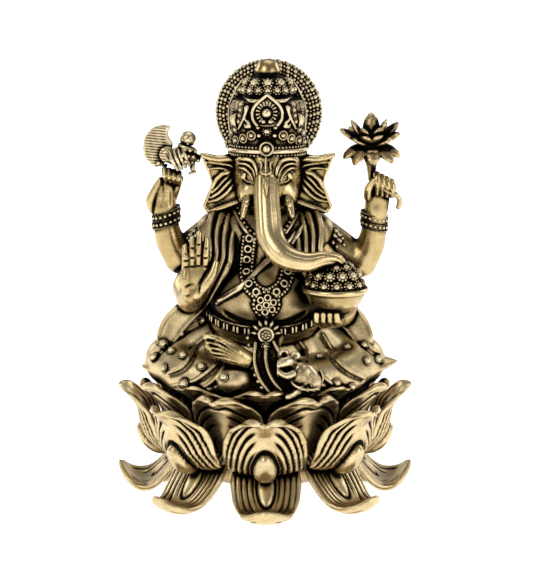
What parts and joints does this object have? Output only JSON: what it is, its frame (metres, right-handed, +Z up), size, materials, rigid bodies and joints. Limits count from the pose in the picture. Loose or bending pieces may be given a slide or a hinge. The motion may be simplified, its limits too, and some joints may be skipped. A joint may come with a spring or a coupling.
{
  "type": "seated deity figurine",
  "caption": "Small cast brass figure of a seated elephant-headed deity with raised arms, tall crown and a held bowl, on an open lotus.",
  "frame": {"origin": "centre of the overall box in X and Y, on the table plane under the lotus", "axes": "+Z up; the figure faces -Y; +X is the viewer's right"},
  "size_m": [0.069, 0.069, 0.1005],
  "materials": {
    "polished_brass": "antique brass, relief polished bright, dark patina left in the recesses",
    "cloth_brass": "antique brass, satin folds with dark patina in the grooves",
    "jewel_brass": "antique brass bead work, bright tops on a blackened ground",
    "lotus_brass": "antique brass petals, rubbed edges with blackened veins"
  },
  "bodies": {
    "root": {"axe": "jewel_brass", "belt": "jewel_brass", "belt_buckle": "jewel_brass", "bowl": "jewel_brass", "crown": "jewel_brass", "crown_finial": "jewel_brass", "crown_halo": "jewel_brass", "dhoti_hips": "cloth_brass", "dhoti_pleat": "cloth_brass", "head": "polished_brass", "inner_petal_ring": "lotus_brass", "left_bangle": "jewel_brass", "left_ear": "polished_brass", "left_front_arm": "polished_brass", "left_leg": "cloth_brass", "left_rear_arm": "polished_brass", "left_shawl": "cloth_brass", "left_tusk": "polished_brass", "lotus_core": "lotus_brass", "lotus_flower": "jewel_brass", "lower_petal_1": "lotus_brass", "lower_petal_2": "lotus_brass", "lower_petal_3": "lotus_brass", "lower_petal_4": "lotus_brass", "lower_petal_5": "lotus_brass", "lower_petal_6": "lotus_brass", "lower_petal_7": "lotus_brass", "lower_petal_8": "lotus_brass", "middle_petal_1": "lotus_brass", "middle_petal_2": "lotus_brass", "middle_petal_3": "lotus_brass", "middle_petal_4": "lotus_brass", "middle_petal_5": "lotus_brass", "middle_petal_6": "lotus_brass", "middle_petal_7": "lotus_brass", "middle_petal_8": "lotus_brass", "mouse": "polished_brass", "necklace": "jewel_brass", "necklace_pendant": "jewel_brass", "resting_foot": "polished_brass", "right_bangle": "jewel_brass", "right_ear": "polished_brass", "right_front_arm": "polished_brass", "right_leg": "cloth_brass", "right_rear_arm": "polished_brass", "right_shawl": "cloth_brass", "right_tusk": "polished_brass", "sacred_thread": "cloth_brass", "sweets": "jewel_brass", "torso": "polished_brass", "trunk": "polished_brass", "upper_petal_1": "lotus_brass", "upper_petal_2": "lotus_brass", "upper_petal_3": "lotus_brass", "upper_petal_4": "lotus_brass", "upper_petal_5": "lotus_brass", "upper_petal_6": "lotus_brass", "upper_petal_7": "lotus_brass", "upper_petal_8": "lotus_brass"}
  },
  "joints": []
}
